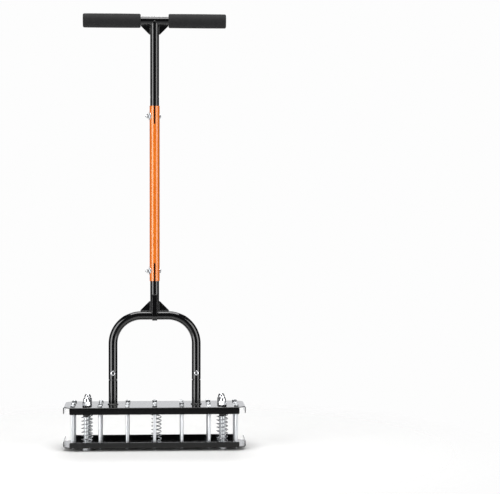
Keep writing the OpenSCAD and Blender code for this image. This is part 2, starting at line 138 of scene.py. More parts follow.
@dataclass(frozen=True)
class Finish:
    """What every finish shares: a name, and a material that is built once."""

    name: str

    def skin(self, tree: bpy.types.NodeTree, where: bpy.types.NodeSocket) -> bpy.types.Node:
        """Adds the nodes of the finish; each finish has its own.

        Args:
            tree: Node tree that gets them.
            where: Object coordinates, in metres.

        Returns:
            The surface shader.
        """
        raise NotImplementedError

    def material(self) -> bpy.types.Material:
        """Builds the material the first time and returns it.

        Returns:
            The material of this finish.
        """
        mat = bpy.data.materials.get(self.name)
        if mat is None:
            mat = bpy.data.materials.new(self.name)
            tree = clean_tree(mat)
            skin = self.skin(tree, add_node(tree, "ShaderNodeTexCoord").outputs["Object"])
            add_node(tree, "ShaderNodeOutputMaterial", {}, {"Surface": skin.outputs["BSDF"]})
        return mat


@dataclass(frozen=True)
class PowderCoat(Finish):
    """Steel with a baked polyester powder coat: a thick smooth plastic skin over metal.

    To the eye it is a deep even colour under a clear gloss, with the faint lumpiness of
    orange peel that makes the edges of reflections wander.
    """

    colour: str
    shade: str
    rubbed_to: str
    roughness: float = 0.14
    coat: float = 0.6
    shine: float = 0.5
    coat_ior: float = 1.5
    glint: str = "#ffffff"
    peel_mm: float = 5.0
    peel_um: float = 5.0
    edge_mm: float = 0.7

    def skin(self, tree: bpy.types.NodeTree, where: bpy.types.NodeSocket) -> bpy.types.Node:
        """Adds the drifting tone, orange peel, haze, and edges that are rounded and rubbed."""
        # Film thickness drifts over centimetres, so the tone does too.
        drift = add_node(tree, "ShaderNodeTexNoise", {"Scale": per_metre(45), "Detail": 2.0},
                         {"Vector": where})
        tone = add_node(tree, "ShaderNodeValToRGB", {}, {"Fac": drift.outputs["Fac"]})
        ramp_stops(tone, (0.35, self.shade), (0.65, self.colour))
        # Real orange peel is about 1.5 mm across; it is drawn three times as coarse so that it shows.
        peel = add_node(tree, "ShaderNodeTexNoise", {"Scale": per_metre(self.peel_mm), "Detail": 1.5},
                        {"Vector": where})
        # The film rounds every edge over, and rubbed edges show a little of the grey primer.
        edge = add_node(tree, "ShaderNodeBevel", {"samples": 6, "Radius": self.edge_mm * MM})
        face = add_node(tree, "ShaderNodeNewGeometry")
        flat = add_node(tree, "ShaderNodeVectorMath", {"operation": "DOT_PRODUCT"},
                        {0: edge.outputs["Normal"], 1: face.outputs["Normal"]})
        rubbed = add_node(tree, "ShaderNodeMapRange", {"From Min": 0.985, "From Max": 0.8,
                                                       "To Min": 0.0, "To Max": 0.7},
                          {"Value": flat.outputs["Value"]})
        scuffs = add_node(tree, "ShaderNodeTexNoise",
                          {"Scale": per_metre(7), "Detail": 5.0, "Roughness": 0.7}, {"Vector": where})
        patchy = add_node(tree, "ShaderNodeMapRange", {"From Min": 0.5, "From Max": 0.62},
                          {"Value": scuffs.outputs["Fac"]})
        worn = add_node(tree, "ShaderNodeMath", {"operation": "MULTIPLY"},
                        {0: rubbed.outputs["Result"], 1: patchy.outputs["Result"]})
        paint = add_node(tree, "ShaderNodeMix", {"data_type": "RGBA", 7: srgb(self.rubbed_to)},
                         {0: worn.outputs["Value"], 6: tone.outputs["Color"]})
        bump = add_node(tree, "ShaderNodeBump", {"Strength": 1.0, "Distance": self.peel_um * 1e-6},
                        {"Height": peel.outputs["Fac"], "Normal": edge.outputs["Normal"]})
        haze = add_node(tree, "ShaderNodeTexNoise", {"Scale": per_metre(18), "Detail": 3.0},
                        {"Vector": where})
        rough = add_node(tree, "ShaderNodeMapRange", {"To Min": self.roughness * 0.8,
                                                      "To Max": self.roughness * 1.25},
                         {"Value": haze.outputs["Fac"]})
        return add_node(tree, "ShaderNodeBsdfPrincipled",
                        {"IOR": 1.5, "Specular IOR Level": self.shine,
                         "Specular Tint": srgb(self.glint), "Coat Weight": self.coat,
                         "Coat Roughness": 0.06, "Coat IOR": self.coat_ior},
                        {"Base Color": paint.outputs[2], "Roughness": rough.outputs["Result"],
                         "Normal": bump.outputs["Normal"]})


@dataclass(frozen=True)
class ZincPlate(Finish):
    """Steel fasteners with bright zinc plate, barrel plated.

    To the eye it is a cool white metal, a little cloudy, with soft mottling where parts
    rubbed on each other in the barrel.
    """

    colour: str
    shade: str
    roughness: float = 0.22
    mottle_mm: float = 2.5

    def skin(self, tree: bpy.types.NodeTree, where: bpy.types.NodeSocket) -> bpy.types.Node:
        """Adds the cloudy tone and the mottled gloss."""
        cloud = add_node(tree, "ShaderNodeTexNoise", {"Scale": per_metre(self.mottle_mm), "Detail": 3.0},
                         {"Vector": where})
        tone = add_node(tree, "ShaderNodeValToRGB", {}, {"Fac": cloud.outputs["Fac"]})
        ramp_stops(tone, (0.3, self.shade), (0.7, self.colour))
        rough = add_node(tree, "ShaderNodeMapRange", {"To Min": self.roughness * 0.7,
                                                      "To Max": self.roughness * 1.4},
                         {"Value": cloud.outputs["Fac"]})
        bump = add_node(tree, "ShaderNodeBump", {"Strength": 0.05, "Distance": 0.0002},
                        {"Height": cloud.outputs["Fac"]})
        return add_node(tree, "ShaderNodeBsdfPrincipled", {"Metallic": 1.0},
                        {"Base Color": tone.outputs["Color"], "Roughness": rough.outputs["Result"],
                         "Normal": bump.outputs["Normal"]})


@dataclass(frozen=True)
class DrawnSteel(Finish):
    """Cold-drawn round bar and wire, zinc plated.

    To the eye it is a bright metal with fine straight lines left by the die along its
    length, which stretch the highlights across the bar.
    """

    colour: str
    shade: str
    roughness: float = 0.2
    line_mm: float = 0.8

    def skin(self, tree: bpy.types.NodeTree, where: bpy.types.NodeSocket) -> bpy.types.Node:
        """Adds the lines that the die leaves along the bar."""
        # Die lines are hairlines; they are drawn 0.8 mm apart so that they show.
        along = add_node(tree, "ShaderNodeMapping", {"Scale": (1.0, 1.0, 0.03)},
                         {"Vector": where})
        lines = add_node(tree, "ShaderNodeTexNoise", {"Scale": per_metre(self.line_mm), "Detail": 2.0},
                         {"Vector": along.outputs["Vector"]})
        tone = add_node(tree, "ShaderNodeValToRGB", {}, {"Fac": lines.outputs["Fac"]})
        ramp_stops(tone, (0.3, self.shade), (0.65, self.colour))
        rough = add_node(tree, "ShaderNodeMapRange", {"To Min": self.roughness * 0.7,
                                                      "To Max": self.roughness * 1.5},
                         {"Value": lines.outputs["Fac"]})
        bump = add_node(tree, "ShaderNodeBump", {"Strength": 0.12, "Distance": 0.0001},
                        {"Height": lines.outputs["Fac"]})
        return add_node(tree, "ShaderNodeBsdfPrincipled", {"Metallic": 1.0},
                        {"Base Color": tone.outputs["Color"], "Roughness": rough.outputs["Result"],
                         "Normal": bump.outputs["Normal"]})


@dataclass(frozen=True)
class FoamRubber(Finish):
    """NBR foam sleeve, extruded and skinned, with its closed cells just open at the surface.

    To the eye it is a soft charcoal black with no gloss, a fine pebble and a little sheen
    at grazing angles.
    """

    colour: str
    shade: str
    roughness: float = 0.82
    cell_mm: float = 1.3

    def skin(self, tree: bpy.types.NodeTree, where: bpy.types.NodeSocket) -> bpy.types.Node:
        """Adds the open cells and a slow change of tone."""
        # Cells are about 0.4 mm; they are drawn three times as coarse so that they show.
        cells = add_node(tree, "ShaderNodeTexVoronoi", {"Scale": per_metre(self.cell_mm)},
                         {"Vector": where})
        lumps = add_node(tree, "ShaderNodeTexNoise", {"Scale": per_metre(9), "Detail": 4.0},
                         {"Vector": where})
        tone = add_node(tree, "ShaderNodeValToRGB", {}, {"Fac": lumps.outputs["Fac"]})
        ramp_stops(tone, (0.3, self.shade), (0.7, self.colour))
        height = add_node(tree, "ShaderNodeMath", {"operation": "MULTIPLY_ADD", 1: 0.6},
                          {0: cells.outputs["Distance"], 2: lumps.outputs["Fac"]})
        bump = add_node(tree, "ShaderNodeBump", {"Strength": 0.35, "Distance": 0.0004},
                        {"Height": height.outputs["Value"]})
        rough = add_node(tree, "ShaderNodeMapRange", {"To Min": self.roughness * 0.92, "To Max": 0.95},
                         {"Value": cells.outputs["Distance"]})
        return add_node(tree, "ShaderNodeBsdfPrincipled",
                        {"IOR": 1.45, "Sheen Weight": 0.06, "Sheen Roughness": 0.5},
                        {"Base Color": tone.outputs["Color"], "Roughness": rough.outputs["Result"],
                         "Normal": bump.outputs["Normal"]})


@dataclass(frozen=True)
class MouldedNylon(Finish):
    """Injection-moulded black nylon: a dull plastic skin with a fine spark-eroded grain."""

    colour: str
    roughness: float = 0.45
    grain_mm: float = 0.6

    def skin(self, tree: bpy.types.NodeTree, where: bpy.types.NodeSocket) -> bpy.types.Node:
        """Adds the grain of the mould."""
        grain = add_node(tree, "ShaderNodeTexNoise", {"Scale": per_metre(self.grain_mm), "Detail": 2.0},
                         {"Vector": where})
        bump = add_node(tree, "ShaderNodeBump", {"Strength": 0.15, "Distance": 0.0001},
                        {"Height": grain.outputs["Fac"]})
        rough = add_node(tree, "ShaderNodeMapRange", {"To Min": self.roughness * 0.85,
                                                      "To Max": self.roughness * 1.15},
                         {"Value": grain.outputs["Fac"]})
        return add_node(tree, "ShaderNodeBsdfPrincipled", {"Base Color": srgb(self.colour), "IOR": 1.53},
                        {"Roughness": rough.outputs["Result"], "Normal": bump.outputs["Normal"]})


# Polyester powder coat, gloss black: near-black with crisp streaks of light.
BLACK_COAT = PowderCoat("black_powder_coat", "#070708", "#040405", "#3a3a3c")
# The same on flat folded sheet, sprayed thicker and a little duller.
PLATE_COAT = PowderCoat("black_powder_coat_on_sheet", "#0a0a0b", "#070708", "#3a3a3c", roughness=0.2,
                        coat=0.9, coat_ior=1.32, shine=0.16)
# Polyester powder coat, bright orange: a saturated warm tone that keeps its colour in shade.
ORANGE_COAT = PowderCoat("orange_powder_coat", "#e5761d", "#df6f16", "#c9763f", roughness=0.19, coat=0.8,
                         shine=1.0, glint="#ffe9c6", peel_um=2.5)
# Barrel-plated zinc: cool white metal, slightly cloudy.
ZINC = ZincPlate("bright_zinc_plate", "#eceef0", "#cfd2d5", roughness=0.4)
# Nickel-chrome on the cap nuts and the cross bolts: brighter and cleaner than the zinc.
CHROME = ZincPlate("nickel_chrome_plate", "#f1f2f4", "#dfe1e4", roughness=0.2)
# Drawn bar of the spikes and the guide bolts' shanks: long soft highlights.
BAR_STEEL = DrawnSteel("drawn_bar_zinc_plated", "#e6e8ea", "#c9ccd0", roughness=0.32)
# Hard-drawn spring wire, plated: darker and sharper, so the coils stand out.
WIRE_STEEL = DrawnSteel("spring_wire_zinc_plated", "#cfd1d4", "#aeb1b5", roughness=0.16)
# NBR foam of the grips: near-black and matt, it swallows the lights.
FOAM = FoamRubber("nbr_foam", "#151516", "#0f0f10")
# Glass-filled nylon of the guide bushes: dull beside the painted plate.
NYLON = MouldedNylon("moulded_nylon", "#141415")


# ------------------------------------------------------------------ mesh helpers


@dataclass
class Shape:
    """Vertices and faces gathered for one mesh."""

    verts: list[Point] = field(default_factory=list)
    faces: list[tuple[int, ...]] = field(default_factory=list)

    def add(self, verts: list[Point], faces: list[tuple[int, ...]]) -> None:
        """Appends an island of vertices and faces."""
        start = len(self.verts)
        self.verts.extend(verts)
        self.faces.extend(tuple(start + i for i in f) for f in faces)

    def rings(self, rings: list[Ring], cap_first: bool = False, cap_last: bool = False,
              joined: bool = False) -> "Shape":
        """Skins a stack of equal rings.

        Args:
            rings: Rings of points, each with the same count, in order.
            cap_first: Closes the first ring with one face.
            cap_last: Closes the last ring with one face.
            joined: Joins the last ring back to the first.

        Returns:
            This shape.
        """
        n = len(rings[0])
        verts = [p for ring in rings for p in ring]
        faces: list[tuple[int, ...]] = []
        steps = len(rings) if joined else len(rings) - 1
        for i in range(steps):
            a, b = i * n, ((i + 1) % len(rings)) * n
            for k in range(n):
                j = (k + 1) % n
                faces.append((a + k, a + j, b + j, b + k))
        if cap_first:
            faces.append(tuple(reversed(range(n))))
        if cap_last:
            last = (len(rings) - 1) * n
            faces.append(tuple(range(last, last + n)))
        self.add(verts, faces)
        return self

    def moved(self, matrix: Matrix) -> "Shape":
        """Returns a copy with every vertex put through matrix."""
        out = Shape()
        out.add([tuple(matrix @ Vector(v)) for v in self.verts], self.faces)
        return out

    def build(self, name: str, finish: bpy.types.Material, sharp_deg: float = 34.0) -> bpy.types.Object:
        """Makes the mesh object.

        Args:
            name: Name of the object and mesh.
            finish: Material of every face.
            sharp_deg: Edges sharper than this stay crisp.

        Returns:
            The object, linked to the scene.
        """
        mesh = bpy.data.meshes.new(name)
        mesh.from_pydata(self.verts, [], self.faces)
        mesh.validate()
        mesh.materials.append(finish)
        mesh.shade_smooth()
        mesh.set_sharp_from_angle(angle=math.radians(sharp_deg))
        mesh.update()
        obj = bpy.data.objects.new(name, mesh)
        bpy.context.scene.collection.objects.link(obj)
        return obj


def circle(radius: float, height: float, sides: int, phase: float = 0.0) -> Ring:
    """Ring of points about Z.

    Args:
        radius: Radius in metres.
        height: Z of the ring.
        sides: Number of points.
        phase: Angle of the first point, in radians.

    Returns:
        The points, counter-clockwise seen from above.
    """
    return [(radius * math.cos(phase + 2 * math.pi * k / sides),
             radius * math.sin(phase + 2 * math.pi * k / sides), height) for k in range(sides)]


def turned(profile: list[tuple[float, float]], sides: int, phase: float = 0.0) -> list[Ring]:
    """Rings of a shape turned about Z.

    Args:
        profile: Radius and height of each ring, in order.
        sides: Points in a ring.
        phase: Angle of the first point, in radians.

    Returns:
        One ring for each pair, none smaller than PIN_POINT.
    """
    return [circle(max(radius, PIN_POINT), height, sides, phase) for radius, height in profile]


def arc(cx: float, cz: float, radius: float, start: float, end: float,
        steps: int) -> list[tuple[float, float]]:
    """Points of a circular arc in a profile.

    Args:
        cx: Radius coordinate of the arc's centre.
        cz: Height of the arc's centre.
        radius: Arc radius.
        start: First angle in degrees.
        end: Last angle in degrees.
        steps: Number of segments.

    Returns:
        steps + 1 points.
    """
    out = []
    for i in range(steps + 1):
        a = math.radians(start + (end - start) * i / steps)
        out.append((cx + radius * math.cos(a), cz + radius * math.sin(a)))
    return out


def sweep(shape: Shape, path: list[Vector], radius: float | list[float], sides: int,
          joined: bool = False) -> None:
    """Carries a round section along a path.

    Args:
        shape: Shape that gets the skin.
        path: Centre points in order.
        radius: Section radius, or one for each point.
        sides: Points in a section.
        joined: True when the path closes on itself.
    """
    n = len(path)
    tangents = []
    for i in range(n):
        a = path[(i - 1) % n] if joined or i > 0 else path[i]
        b = path[(i + 1) % n] if joined or i < n - 1 else path[i]
        tangents.append((b - a).normalized())
    up = Vector((0, 0, 1)) if abs(tangents[0].z) < 0.9 else Vector((1, 0, 0))
    side = tangents[0].cross(up).normalized()
    rings: list[Ring] = []
    for i in range(n):
        side = (side - tangents[i] * side.dot(tangents[i])).normalized()
        other = tangents[i].cross(side)
        r = radius[i] if isinstance(radius, list) else radius
        rings.append([tuple(path[i] + r * (math.cos(2 * math.pi * k / sides) * side
                                            + math.sin(2 * math.pi * k / sides) * other))
                      for k in range(sides)])
    shape.rings(rings, cap_first=not joined, cap_last=not joined, joined=joined)


def stand_at(at: Vector) -> Matrix:
    """Move from the Z axis to the X and Y of a point, heights kept."""
    return Matrix.Translation(Vector((at.x, at.y, 0)))


def centre_of(node: str) -> Vector:
    """Middle of a CAD node's box."""
    lo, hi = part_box(node)
    return (Vector(lo) + Vector(hi)) / 2


def place(obj: bpy.types.Object, body: Body, slot: str, *nodes: str) -> None:
    """Rides a finished piece on its body and lets it stand for CAD nodes.

    Args:
        obj: The piece, already in place.
        body: Body that carries it.
        slot: Material slot of the record that it belongs to; not used.
        nodes: CAD nodes that it replaces.
    """
    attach(obj, body.value)
    if nodes:
        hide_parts(*nodes)
    log.info("%s rides on %s, stands for %s", obj.name, body.value, ", ".join(nodes) or "nothing")


def dress(node: str, finish: bpy.types.Material) -> None:
    """Gives a carried-over CAD node its finish.

    Args:
        node: Name of the CAD node.
        finish: Material for all of it.
    """
    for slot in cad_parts[node].material_slots:
        slot.material = finish
    log.info("%s dressed in %s", node, finish.name)


# ------------------------------------------------------------------ sub-assemblies


@dataclass
class FoamGrips:
    """The two foam sleeves on the cross bar.

    Attributes:
        end_radius: Rounding of the sleeve ends.
        closing: Radius left where the outer end closes at its axis.
        sides: Points round a sleeve.
    """

    end_radius: float = 3.2 * MM
    closing: float = 0.02 * MM
    sides: int = 72

    def build(self) -> None:
        """Builds both sleeves: slightly full in the middle, softly rounded at both ends."""
        for node in ("grip_left", "grip_right"):
            lo, hi = (Vector(p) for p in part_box(node))
            sign = 1.0 if hi.x > 0 else -1.0
            r = (hi.z - lo.z) / 2
            inner = min(abs(lo.x), abs(hi.x))
            length = hi.x - lo.x
            bore = centre_bar_radius() + 0.15 * MM
            e = self.end_radius
            profile = [(bore, 1.6 * MM), (bore + 0.6 * MM, 0.3 * MM), (bore + 1.4 * MM, 0.0)]
            profile += arc(r - 0.25 * MM - e, e, e, -90, 0, 8)
            for i in range(1, 24):
                t = i / 24
                full = math.sin(math.pi * t) ** 0.5
                profile.append((r - 0.25 * MM + 0.22 * MM * full, e + (length - 2 * e) * t))
            profile += arc(r - 0.25 * MM - e, length - e, e, 0, 78, 8)
            profile += [(r * 0.42, length - 0.1 * MM), (r * 0.2, length), (0.0, length)]
            rings = [circle(max(a, self.closing), b, self.sides) for a, b in profile]
            shape = Shape().rings(rings, cap_last=True)
            turn = Matrix.Translation(Vector((sign * inner, 0, (lo.z + hi.z) / 2))) @ \
                Matrix.Rotation(sign * math.pi / 2, 4, "Y")
            sleeve = shape.moved(turn).build("foam_" + node, FOAM.material(), 50)
            place(sleeve, Body.CARRIAGE, "foam", node)


def centre_bar_radius() -> float:
    """Radius of the cross bar, from its CAD box."""
    lo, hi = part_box("crossbar")
    return (hi[2] - lo[2]) / 2


@dataclass
class ReturnSprings:
    """The five compression springs between the plates.

    Attributes:
        wire: Wire diameter.
        turns: Turns, closed end turns included.
        closed: Closed turns at each end.
        ease: Turns over which a closed turn opens.
        sides: Points round the wire.
        steps: Sections in one turn.
    """

    wire: float = 2.2 * MM
    turns: float = 12.0
    closed: float = 1.0
    ease: float = 0.25
    sides: int = 12
    steps: int = 40

    def rise(self, t: float, height: float) -> float:
        """Height of the wire's centre after t turns.

        Args:
            t: Turns from the lower end.
            height: Free height of the spring.

        Returns:
            Height above the spring's foot.
        """
        w = self.wire
        pitch = (height - 3 * w) / (self.turns - 2)
        low, high = self.closed, self.turns - self.closed

        def soft(x: float) -> float:
            """Blends the closed turn into the open turns without a kink."""
            return x * x / (2 * self.ease) if x < self.ease else x - self.ease / 2

        active = max(0.0, min(t, high) - low)
        span = high - low
        half = span / 2
        scale = span / (soft(half) * 2)
        eased = soft(active) if active <= half else 2 * soft(half) - soft(span - active)
        base = w / 2 + w * min(t, low)
        top = w * max(0.0, t - high)
        return base + eased * scale * pitch + top

    def build(self) -> None:
        """Builds each coil over its CAD node."""
        for node in ("spring_front_left", "spring_front_right", "spring_back_left",
                     "spring_back_right", "spring_centre"):
            lo, hi = (Vector(p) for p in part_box(node))
            height = hi.z - lo.z
            mid = (lo + hi) / 2
            r = (hi.y - lo.y) / 2 - self.wire / 2
            count = int(self.turns * self.steps)
            path = []
            for i in range(count + 1):
                t = i / self.steps
                a = 2 * math.pi * t
                z = min(max(self.rise(t, height), self.wire / 2), height - self.wire / 2)
                path.append(Vector((mid.x + r * math.cos(a), mid.y + r * math.sin(a), lo.z + z)))
            radii = [self.wire / 2 * min(1.0, 0.55 + 0.45 * min(i, count - i) / 12) for i in range(count + 1)]
            shape = Shape()
            sweep(shape, path, radii, self.sides)
            coil = shape.build("coil_" + node, WIRE_STEEL.material(), 60)
            place(coil, Body.BASE, "spring_steel", node)
            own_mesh(coil)


GUIDE_BOLTS = ("guide_bolt_front_left", "guide_bolt_front_right", "guide_bolt_back_left",
               "guide_bolt_back_right")
# A forged hexagon's rim is turned at 30 degrees, down to a circle just inside its flats.
RIM_SLOPE = math.radians(30)
RIM_SHARE = 0.965
HEX_POINTS = 48
# Depth of a rolled thread as a share of its pitch.
THREAD_DEPTH = 0.54


def hexagon(across: float, limit: float, height: float, turn: float) -> Ring:
    """Ring of a hexagon whose corners are trimmed to a circle.

    Args:
        across: Width across the flats.
        limit: Largest radius.
        height: Z of the ring.
        turn: Angle of the first corner, in radians.

    Returns:
        HEX_POINTS points, as many to each side.
    """
    out = []
    for k in range(HEX_POINTS):
        a = 2 * math.pi * k / HEX_POINTS
        from_flat = (a % (math.pi / 3)) - math.pi / 6
        rad = min(across / 2 / math.cos(from_flat), limit)
        out.append((rad * math.cos(a + turn), rad * math.sin(a + turn), height))
    return out


def hexagon_rings(across: float, low: float, high: float, turn: float) -> list[Ring]:
    """Rings of a forged hexagon with chamfered rims.

    Args:
        across: Width across the flats.
        low: Height of the lower face.
        high: Height of the upper face.
        turn: Angle of the first corner, in radians.

    Returns:
        Rings from the lower face to the upper one.
    """
    corner, inner = across / math.sqrt(3), across / 2 * RIM_SHARE
    middle = (inner + corner) / 2
    drop = (corner - inner) * math.tan(RIM_SLOPE)
    steps = ((inner, low), (middle, low + drop / 2), (corner, low + drop),
             (corner, high - drop), (middle, high - drop / 2), (inner, high))
    return [hexagon(across, limit, height, turn) for limit, height in steps]


def open_nut(shape: Shape, at: Vector, across: float, bore: float, sink: float, low: float, high: float,
             turn: float) -> None:
    """Adds one plain nut, countersunk at both ends of its bore.

    Args:
        shape: Shape that gets the nut.
        at: Centre, of which only X and Y count.
        across: Width across the flats.
        bore: Radius of the bore.
        sink: Countersink.
        low: Height of its lower face.
        high: Height of its upper face.
        turn: Angle at which it came tight, in radians.
    """
    rings = turned([(bore, low + sink), (bore + sink, low)], HEX_POINTS, turn)
    rings += hexagon_rings(across, low, high, turn)
    rings += turned([(bore + sink, high), (bore, high - sink)], HEX_POINTS, turn)
    nut = Shape().rings(rings, joined=True).moved(stand_at(at))
    shape.add(nut.verts, nut.faces)


@dataclass
class SpikeNuts:
    """The nuts that clamp the threaded necks of the spikes to the moving plate.

    Attributes:
        across: Width across the flats.
        bore: Radius of the bore.
        sink: Countersink at both ends of the bore.
    """

    across: float = 10.0 * MM
    bore: float = 3.05 * MM
    sink: float = 0.45 * MM

    def build(self) -> None:
        """Builds all nuts, each left at the angle where it came tight."""
        for node, seed in (("spike_top_nuts", 0.0), ("spike_lower_nuts", 0.7)):
            lo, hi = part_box(node)
            shape = Shape()
            for i, spike in enumerate(sorted(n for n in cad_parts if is_spike(n))):
                at = centre_of(spike)
                turn = math.radians((i * 37.0 + seed * 50 + 11 * math.sin(i * 2.3)) % 60)
                open_nut(shape, at, self.across, self.bore, self.sink, lo[2], hi[2], turn)
            place(shape.build("nuts_" + node, ZINC.material()), Body.CARRIAGE, "zinc", node)


def thread(radius: float, low: float, high: float, pitch: float, sides: int, per_turn: int) -> list[Ring]:
    """Rings of a right-hand rolled thread, run out at its foot and pointed at its top.

    Args:
        radius: Outside radius.
        low: Height where the thread starts.
        high: Height of the bar's end.
        pitch: Pitch of the thread.
        sides: Points in a ring.
        per_turn: Rings in one pitch.

    Returns:
        The rings, from the bottom to the top.
    """
    depth, count = THREAD_DEPTH * pitch, max(2, round((high - low) / pitch * per_turn))
    rings: list[Ring] = []
    for j in range(count + 1):
        z = low + (high - low) * j / count
        run_out = min(1.0, (z - low) / pitch)
        point = max(0.0, z - (high - 0.8 * pitch)) * 0.8
        ring = []
        for k in range(sides):
            a = 2 * math.pi * k / sides
            flank = abs(2 * ((z / pitch - k / sides) % 1.0) - 1)
            rad = min(radius - depth * (1 - flank) * run_out, radius - point)
            ring.append((rad * math.cos(a), rad * math.sin(a), z))
        rings.append(ring)
    return rings


@dataclass
class Spikes:
    """The 21 solid spikes: a turned bar with a ground point, a shoulder and a threaded neck.

    Attributes:
        point: Length of the ground point.
        tip: Radius left at the very tip.
        neck: Radius of the threaded neck.
        neck_length: Neck below the lower nut.
        shoulder: Length of the chamfered shoulder.
        pitch: Pitch of the thread.
        sides: Points round a spike.
    """

    point: float = 9.0 * MM
    tip: float = 0.4 * MM
    neck: float = 2.98 * MM
    neck_length: float = 10.0 * MM
    shoulder: float = 2.5 * MM
    pitch: float = 1.0 * MM
    sides: int = 32

    def build(self) -> None:
        """Builds every spike, each with its thread started at its own angle."""
        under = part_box("spike_lower_nuts")[0][2]
        crisp = 0.06 * MM
        for i, node in enumerate(sorted(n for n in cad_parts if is_spike(n))):
            lo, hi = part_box(node)
            at, body = centre_of(node), (hi[0] - lo[0]) / 2
            top, foot = under - self.neck_length, lo[2]
            profile = [(0.0, foot), (self.tip * 0.7, foot + 0.02 * MM), (self.tip, foot + 0.25 * MM),
                       (body - 0.04 * MM, foot + self.point - 0.1 * MM), (body, foot + self.point + crisp),
                       (body, foot + self.point + 1.0 * MM), (body, top - self.shoulder - crisp),
                       (body - 0.03 * MM, top - self.shoulder + crisp), (self.neck + 0.03 * MM, top - crisp),
                       (self.neck, top)]
            rings = turned(profile, self.sides)
            rings += thread(self.neck, top + 0.2 * MM, hi[2], self.pitch, self.sides, 6)
            bar = Shape().rings(rings, cap_first=True, cap_last=True)
            bar = bar.moved(stand_at(at) @ Matrix.Rotation(i * 2.4, 4, "Z"))
            place(bar.build("turned_" + node, BAR_STEEL.material(), 80), Body.CARRIAGE, "spike_steel", node)


@dataclass
class GuideBolts:
    """The four guide bolts: feet of the tool below, plain where the moving plate slides.

    Attributes:
        head: Height of the head.
        pitch: Pitch of the thread.
        shank: Radius of the plain shank, which is also the outside radius of the thread.
        lower_thread: Threaded length above the head, for the lock nut.
        upper_thread: Threaded length at the end, for the cap nut.
        washer_face: Height of the raised ring under the head.
        head_turns: Angles of the heads, in degrees.
        thread_starts: Angles at which the threads start, in radians.
        sides: Points round a shank.
        per_turn: Rings in one pitch.
    """

    head: float = 8.0 * MM
    pitch: float = 1.75 * MM
    shank: float = 5.97 * MM
    lower_thread: float = 14.0 * MM
    upper_thread: float = 26.0 * MM
    washer_face: float = 0.3 * MM
    head_turns: tuple[int, ...] = (47, 8, 31, 19)
    thread_starts: tuple[float, ...] = (0.4, 2.1, 3.3, 5.2)
    sides: int = 40
    per_turn: int = 8

    def build(self) -> None:
        """Builds the heads and the threaded shanks."""
        for node, head_turn, thread_start in zip(GUIDE_BOLTS, self.head_turns, self.thread_starts):
            lo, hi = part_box(node)
            at, across = centre_of(node), hi[1] - lo[1]
            spot = stand_at(at)
            face = self.head - self.washer_face
            rings = hexagon_rings(across, 0.0, face, math.radians(head_turn))
            rings += turned([(across * 0.47, face), (across * 0.465, self.head)], HEX_POINTS)
            head = Shape().rings(rings, cap_first=True, cap_last=True)
            place(head.moved(spot).build("head_" + node, ZINC.material()), Body.BASE, "zinc", node)
            plain_from, plain_to = self.head + self.lower_thread, hi[2] - self.upper_thread
            rings = thread(self.shank, self.head, plain_from, self.pitch, self.sides, self.per_turn)
            plain = (plain_from + 0.6 * MM, plain_from + 0.7 * MM, (plain_from + plain_to) / 2,
                     plain_to - 0.1 * MM)
            rings += turned([(self.shank, z) for z in plain], self.sides)
            rings += thread(self.shank, plain_to, hi[2], self.pitch, self.sides, self.per_turn)
            shank = Shape().rings(rings, cap_first=True, cap_last=True)
            shank = shank.moved(spot @ Matrix.Rotation(thread_start, 4, "Z"))
            place(shank.build("thread_" + node, BAR_STEEL.material(), 80), Body.BASE, "zinc")


def is_spike(node: str) -> bool:
    """True for the node of one spike."""
    return node.startswith("spike_") and not node.endswith("nuts")


@dataclass
class GuideNuts:
    """Lock nuts and domed cap nuts of the four guide bolts.

    Attributes:
        bore: Radius of the thread.
        hex_height: Height of the cap nut's hexagon.
        dome: Radius of its dome.
        depth: Depth of its blind thread.
        sink: Countersink at the mouth of a thread.
        lock_turns: Angles at which the lock nuts came tight, in degrees.
        cap_turns: The same for the cap nuts.
    """

    bore: float = 6.1 * MM
    hex_height: float = 10.0 * MM
    dome: float = 8.3 * MM
    depth: float = 13.5 * MM
    sink: float = 0.8 * MM
    lock_turns: tuple[int, ...] = (13, 41, 29, 52)
    cap_turns: tuple[int, ...] = (22, 35, 3, 48)

    def build(self) -> None:
        """Builds the four lock nuts and the four cap nuts."""
        lock_low, lock_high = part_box("guide_lock_nuts")
        cap_low, cap_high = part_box("cap_nuts")
        locks, caps = Shape(), Shape()
        for i, bolt in enumerate(GUIDE_BOLTS):
            lo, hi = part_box(bolt)
            at, across = centre_of(bolt), hi[1] - lo[1]
            turn = math.radians(self.lock_turns[i])
            open_nut(locks, at, across, self.bore, self.sink, lock_low[2], lock_high[2], turn)

            low, high = cap_low[2], cap_high[2]
            turn = math.radians(self.cap_turns[i])
            mouth = [(PIN_POINT, low + self.depth), (self.bore, low + self.depth),
                     (self.bore, low + self.sink), (self.bore + self.sink, low)]
            dome = [(self.dome, low + self.hex_height)]
            dome += arc(0, high - self.dome, self.dome, 0, 90, 14)
            rings = turned(mouth, HEX_POINTS, turn)
            rings += hexagon_rings(across, low, low + self.hex_height, turn)
            rings += turned(dome, HEX_POINTS, turn)
            cap = Shape().rings(rings, cap_first=True, cap_last=True).moved(stand_at(at))
            caps.add(cap.verts, cap.faces)
        place(locks.build("lock_nuts", ZINC.material()), Body.BASE, "zinc", "guide_lock_nuts")
        place(caps.build("domed_cap_nuts", CHROME.material()), Body.BASE, "zinc", "cap_nuts")


